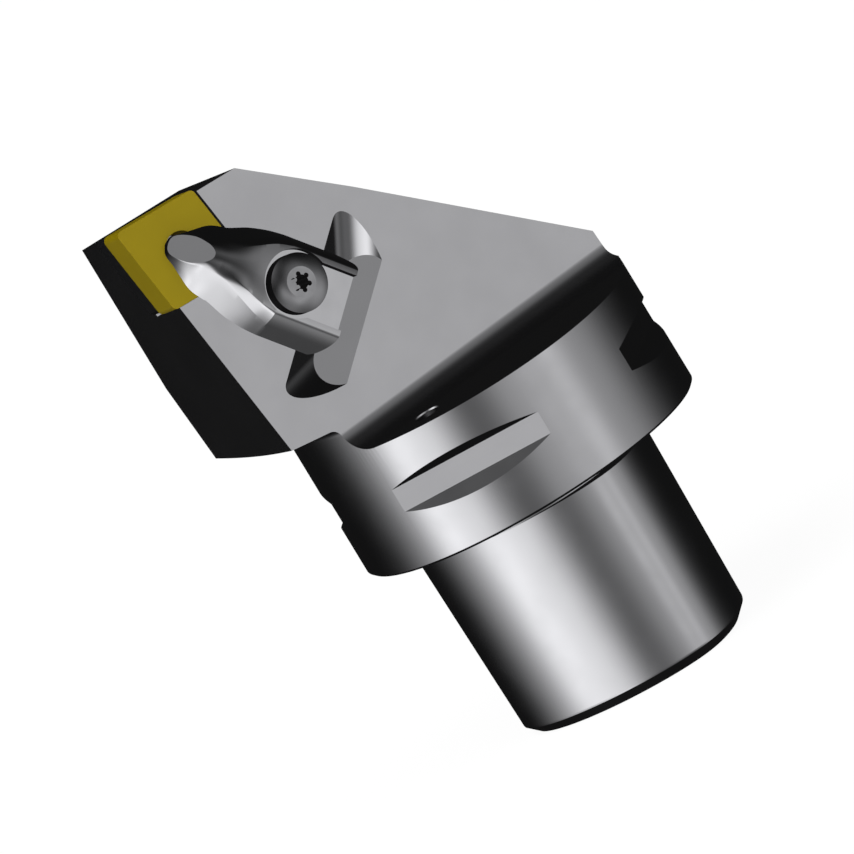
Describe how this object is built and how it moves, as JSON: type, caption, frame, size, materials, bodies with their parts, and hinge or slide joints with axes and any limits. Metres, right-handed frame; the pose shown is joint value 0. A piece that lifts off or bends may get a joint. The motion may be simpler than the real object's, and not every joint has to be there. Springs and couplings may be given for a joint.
{
  "type": "turning tool holder",
  "caption": "Right-hand turning tool head on a hollow polygonal taper shank, with a rhombic cutting insert held on its shim by a screwed top clamp.",
  "frame": {"origin": "on the tool axis, in the gauge face at the back of the flange", "axes": "+Z along the tool axis towards the cutting head, +X towards the cutting corner, +Y out of the rake side"},
  "size_m": [0.06, 0.05, 0.09],
  "materials": {
    "bright_steel": "finely turned and milled, nickel plated",
    "coated_carbide": "cemented carbide with an olive gold coating",
    "dark_carbide": "ground cemented carbide",
    "screw_steel": "blackened and polished screw steel",
    "spring_steel": "drawn wire"
  },
  "bodies": {
    "holder": {"body": "bright_steel", "shim": "dark_carbide", "shim_screw": "screw_steel", "insert": "coated_carbide", "coolant_nozzle": "bright_steel", "clamp_spring": "spring_steel"},
    "clamp": {"clamp": "bright_steel"},
    "screw": {"clamp_screw": "screw_steel"}
  },
  "joints": [
    {"name": "clamp_lift", "type": "slide", "parent": "holder", "child": "clamp", "axis": [0.104, 0.9891, 0.1045], "range_m": [0, 0.003], "deforming": ["clamp_spring"]},
    {"name": "screw_turn", "type": "hinge", "parent": "clamp", "child": "screw", "pos_m": [0.01982, 0.0036, 0.04121], "axis": [0.104, 0.9891, 0.1045], "range_deg": [0, 1080]}
  ],
  "couplings": [
    {"joint": "screw_turn", "follows": "clamp_lift", "rad_per_m": 6283.2}
  ]
}
